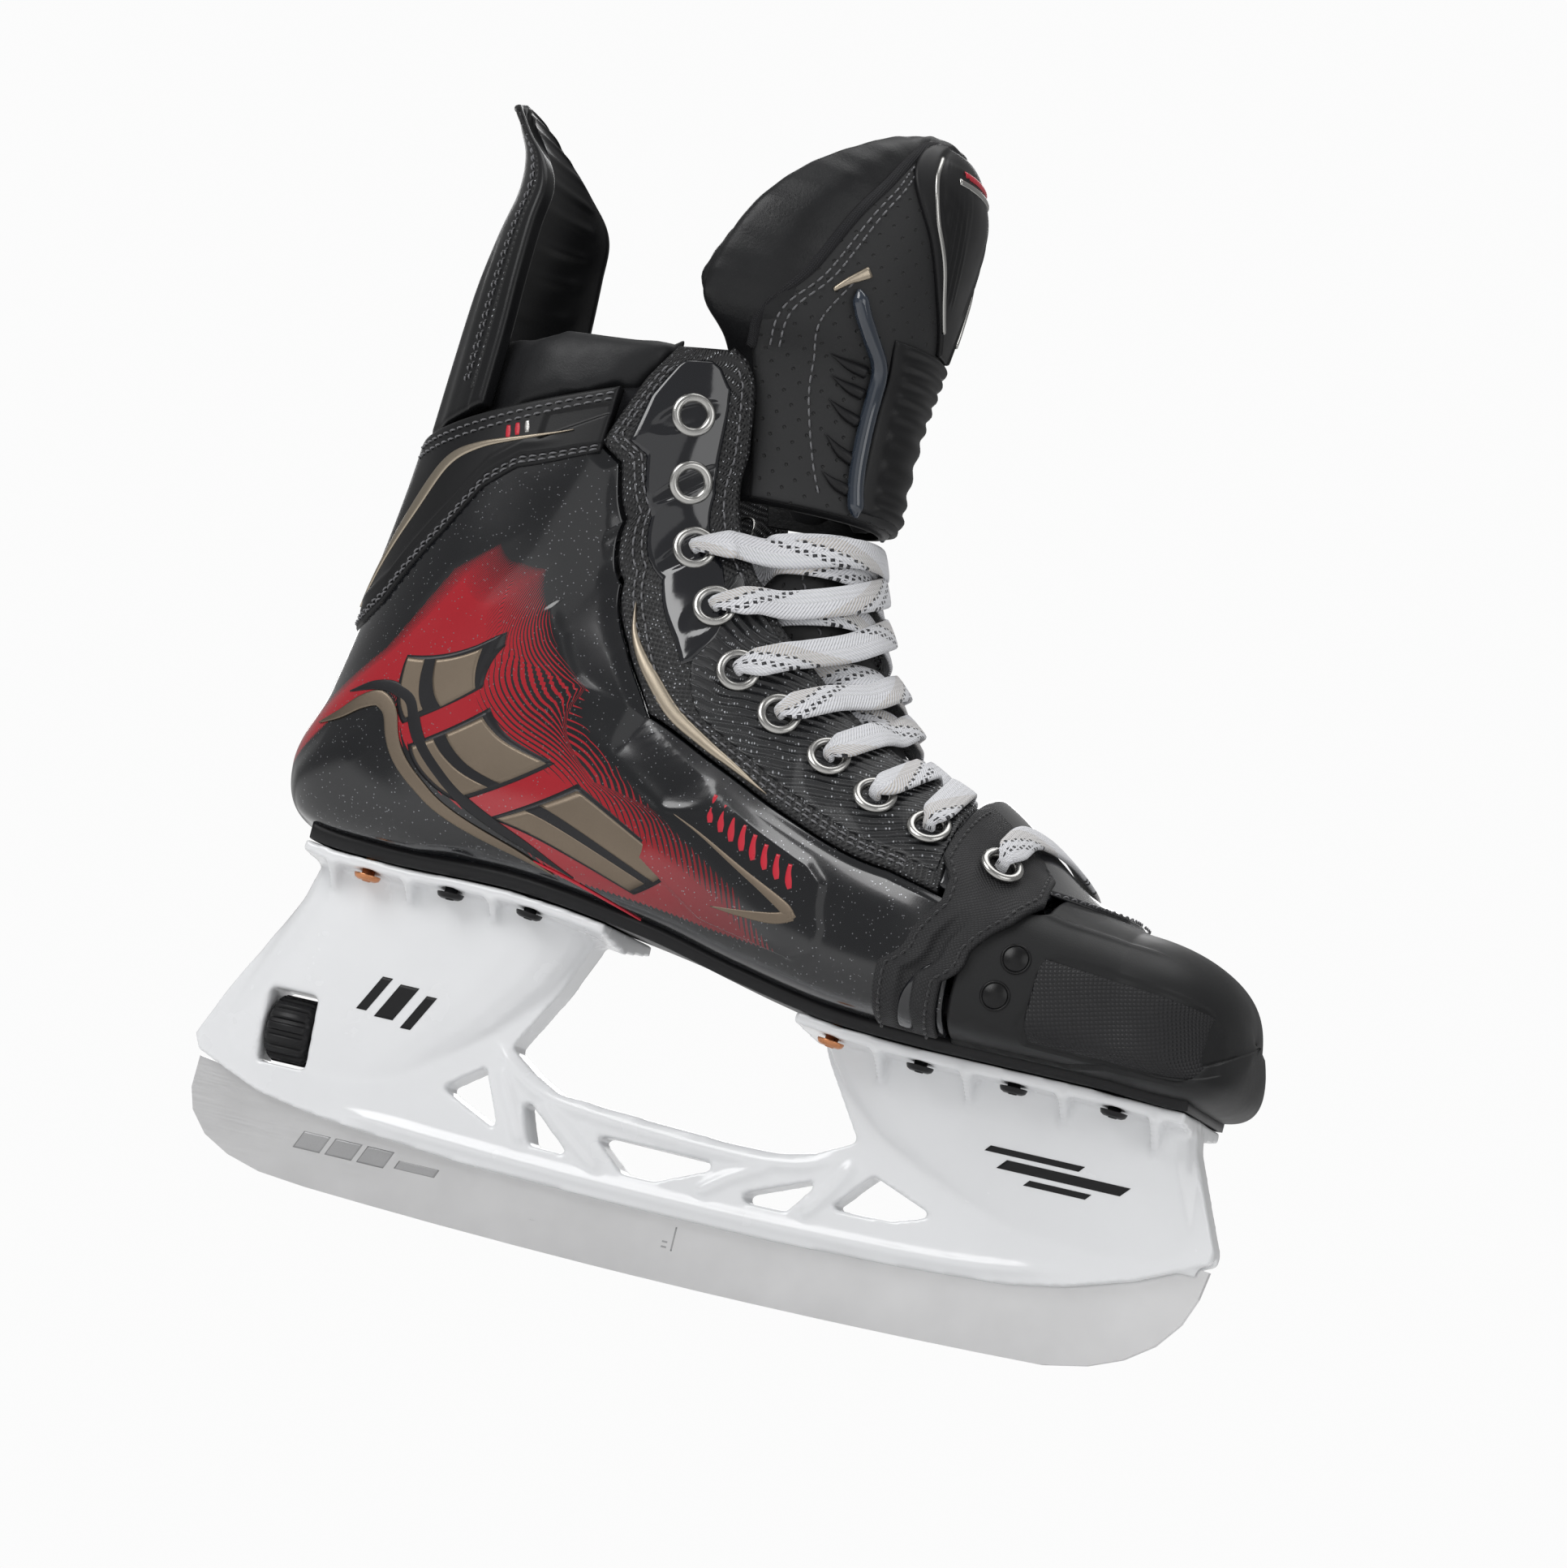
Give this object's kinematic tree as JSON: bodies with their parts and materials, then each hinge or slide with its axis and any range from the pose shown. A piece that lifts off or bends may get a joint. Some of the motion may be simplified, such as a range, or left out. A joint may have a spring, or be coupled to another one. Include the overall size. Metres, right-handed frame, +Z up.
{
  "type": "ice hockey skate",
  "caption": "Right ice hockey skate: laced composite boot with tongue and tendon guard on a trussed holder with a removable steel runner.",
  "frame": {"origin": "middle of the short flat at the bottom of the runner, where it stands on level ice", "axes": "+X towards the toe, +Z up, +Y towards the inner (medial) side of the foot; the outer side of this right skate faces -Y"},
  "size_m": [0.2917, 0.1051, 0.3194],
  "materials": {
    "copper": "copper-plated rivet head, smooth",
    "black_rivet": "black enamelled rivet head with a slot",
    "steel": "satin ground steel with lengthwise grain",
    "latch_steel": "plain steel latch",
    "dial_plastic": "black moulded, knurled rim",
    "white_plastic": "glossy white moulding",
    "outsole": "thin black sole board",
    "shell": "glossy black composite with silver sparkle and a red dotted fade",
    "cap": "matte black moulding with a fine weave on the sides",
    "nickel": "bright nickel",
    "facing": "glossy black padded synthetic with a mesh border",
    "strap": "matte black, fine square weave",
    "vamp": "glossy black synthetic with a stitched edge",
    "trim": "matte black moulding with pale stitching",
    "collar_padding": "smooth black padded cover",
    "liner": "black brushed lining",
    "footbed": "black fabric over foam",
    "tongue": "black felt with a rolled smooth top band",
    "badge": "black moulded badge with fine ribs",
    "lace_guard": "black ribbed strip with a smoky tube",
    "guard": "matte black moulding with a piped edge",
    "lace": "flat white braid with dark ticks"
  },
  "bodies": {
    "boot": {"rear_rivet_outer_0": "copper", "rear_rivet_inner_1": "copper", "front_rivet_outer_6": "copper", "front_rivet_inner_7": "copper", "rear_rivet_outer_2": "black_rivet", "rear_rivet_outer_4": "black_rivet", "rear_rivet_inner_3": "black_rivet", "rear_rivet_inner_5": "black_rivet", "front_rivet_outer_8": "black_rivet", "front_rivet_outer_10": "black_rivet", "front_rivet_outer_12": "black_rivet", "front_rivet_inner_9": "black_rivet", "front_rivet_inner_11": "black_rivet", "front_rivet_inner_13": "black_rivet", "blade_holder": "white_plastic", "outsole": "outsole", "boot_shell": "shell", "toe_cap": "cap", "eyelet_outer_1": "nickel", "eyelet_outer_2": "nickel", "eyelet_outer_3": "nickel", "eyelet_outer_4": "nickel", "eyelet_outer_5": "nickel", "eyelet_outer_6": "nickel", "eyelet_outer_7": "nickel", "eyelet_outer_8": "nickel", "eyelet_outer_9": "nickel", "eyelet_outer_10": "nickel", "eyelet_inner_1": "nickel", "eyelet_inner_2": "nickel", "eyelet_inner_3": "nickel", "eyelet_inner_4": "nickel", "eyelet_inner_5": "nickel", "eyelet_inner_6": "nickel", "eyelet_inner_7": "nickel", "eyelet_inner_8": "nickel", "eyelet_inner_9": "nickel", "eyelet_inner_10": "nickel", "facing_outer": "facing", "facing_inner": "facing", "toe_strap_outer": "strap", "toe_strap_inner": "strap", "vamp": "vamp", "collar_trim": "trim", "collar_pad": "collar_padding", "liner_outer": "liner", "liner_inner": "liner", "footbed": "footbed", "tongue_lower": "tongue", "lace": "lace"},
    "runner": {"runner": "steel"},
    "latch": {"latch_bolt": "latch_steel"},
    "dial": {"release_dial": "dial_plastic"},
    "guard": {"tendon_guard": "guard"},
    "tongue_top": {"tongue_upper": "tongue", "tongue_badge": "badge", "lace_guard": "lace_guard"}
  },
  "joints": [
    {"name": "runner_swing", "type": "hinge", "parent": "boot", "child": "runner", "pos_m": [0.118, 0, 0.045], "axis": [0, -1, 0], "range_deg": [0, 5]},
    {"name": "latch_slide", "type": "slide", "parent": "boot", "child": "latch", "axis": [-1, 0, 0], "range_m": [0, 0.0046]},
    {"name": "dial_turn", "type": "hinge", "parent": "boot", "child": "dial", "pos_m": [-0.12, 0, 0.0435], "axis": [1, 0, 0], "range_deg": [0, 541]},
    {"name": "guard_flex", "type": "hinge", "parent": "boot", "child": "guard", "pos_m": [-0.122, 0, 0.209], "axis": [0, -1, 0], "range_deg": [0, 18], "stiffness_Nm_per_rad": 8},
    {"name": "tongue_flex", "type": "hinge", "parent": "boot", "child": "tongue_top", "pos_m": [0.008, 0, 0.211], "axis": [0, 1, 0], "range_deg": [0, 25], "stiffness_Nm_per_rad": 3}
  ],
  "couplings": [
    {"joint": "latch_slide", "follows": "runner_swing", "m_per_rad": 0.051566},
    {"joint": "dial_turn", "follows": "runner_swing", "ratio": 108}
  ]
}
